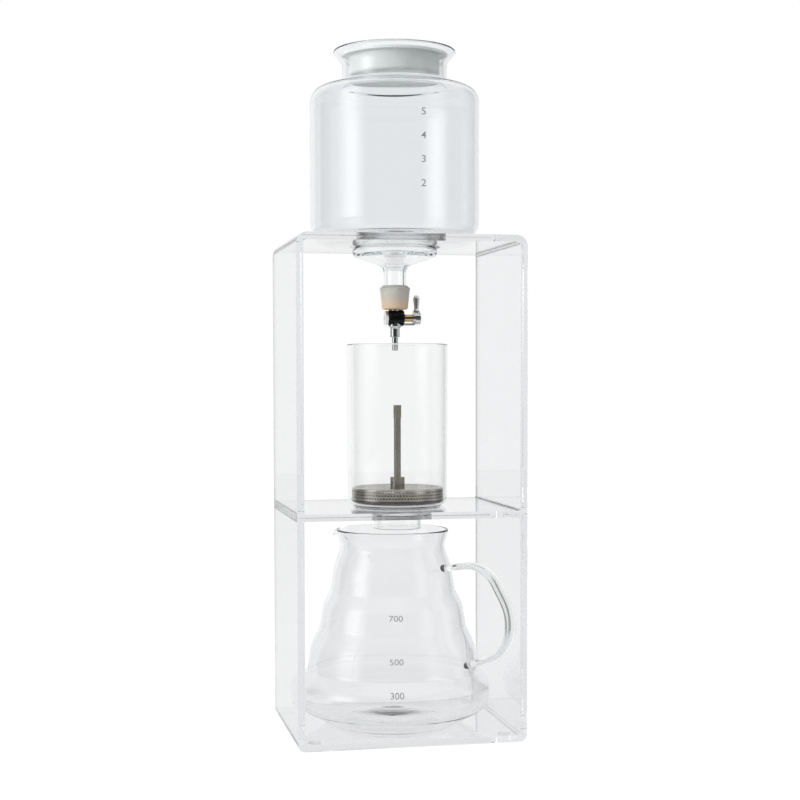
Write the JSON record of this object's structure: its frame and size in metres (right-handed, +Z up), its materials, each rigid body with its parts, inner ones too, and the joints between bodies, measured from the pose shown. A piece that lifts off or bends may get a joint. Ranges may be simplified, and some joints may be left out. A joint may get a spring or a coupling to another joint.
{
  "type": "cold drip coffee tower",
  "caption": "Clear acrylic stand with a glass water bowl and lever tap above a glass coffee bowl with a lift-out metal filter, dripping into a handled glass jug.",
  "frame": {"origin": "on the table under the middle of the stand, at the level of the feet", "axes": "+Z up, -Y the front that the scale numbers and the open bay face, +X to the right seen from the front"},
  "size_m": [0.16, 0.1398, 0.4845],
  "materials": {
    "clear_acrylic": "clear cast acrylic sheet, polished edges",
    "foot_pad": "clear soft pad, slightly cloudy",
    "lid_plastic": "white translucent moulding, satin",
    "bowl_glass": "clear borosilicate glass, fire polished",
    "jug_glass": "clear borosilicate glass, hand blown ripples",
    "silicone": "translucent silicone rubber, cream",
    "black_plastic": "black moulding, glossy",
    "steel": "stainless steel, turned",
    "chrome_plate": "chrome plated, mirror bright",
    "brass_plug": "turned brass",
    "nylon_washer": "white nylon",
    "filter_steel": "fine perforated stainless steel sheet"
  },
  "bodies": {
    "stand": {"left_side_panel": "clear_acrylic", "right_side_panel": "clear_acrylic", "top_panel": "clear_acrylic", "base_panel": "clear_acrylic", "shelf_panel": "clear_acrylic", "bumper_feet": "foot_pad"},
    "water_bowl": {"upper_bowl": "bowl_glass", "bowl_funnel": "bowl_glass", "bowl_outlet_tube": "bowl_glass", "silicone_stopper": "silicone", "tap_body": "black_plastic", "tap_inlet_tube": "steel", "drip_tube": "steel", "drip_tip": "steel", "stop_pin": "chrome_plate"},
    "lid": {"lid_cap": "lid_plastic"},
    "tap_lever": {"tap_plug": "brass_plug", "tap_washer": "nylon_washer", "tap_spring_washer": "steel", "retaining_nut": "chrome_plate", "lever_hub": "chrome_plate", "lever_handle": "chrome_plate"},
    "coffee_bowl": {"lower_bowl": "bowl_glass"},
    "filter": {"filter_gasket": "silicone", "filter_drum": "filter_steel", "filter_mesh": "filter_steel", "stem_collar": "steel", "filter_stem": "steel", "stem_cap": "steel", "clamp_nut": "steel"},
    "jug": {"jug_body": "jug_glass", "jug_handle": "jug_glass"}
  },
  "joints": [
    {"name": "water_bowl_lift", "type": "slide", "parent": "stand", "child": "water_bowl", "axis": [0, 0, 1], "range_m": [0, 0.085]},
    {"name": "lid_lift", "type": "slide", "parent": "water_bowl", "child": "lid", "axis": [0, 0, 1], "range_m": [0, 0.06]},
    {"name": "tap_lever_turn", "type": "hinge", "parent": "water_bowl", "child": "tap_lever", "pos_m": [-0.0003, 0, 0.2961], "axis": [1, 0, 0], "range_deg": [0, 90]},
    {"name": "coffee_bowl_lift", "type": "slide", "parent": "stand", "child": "coffee_bowl", "axis": [0, 0, 1], "range_m": [0, 0.02]},
    {"name": "filter_lift", "type": "slide", "parent": "coffee_bowl", "child": "filter", "axis": [0, 0, 1], "range_m": [0, 0.018]},
    {"name": "jug_slide", "type": "slide", "parent": "stand", "child": "jug", "axis": [0, -1, 0], "range_m": [0, 0.15]}
  ]
}
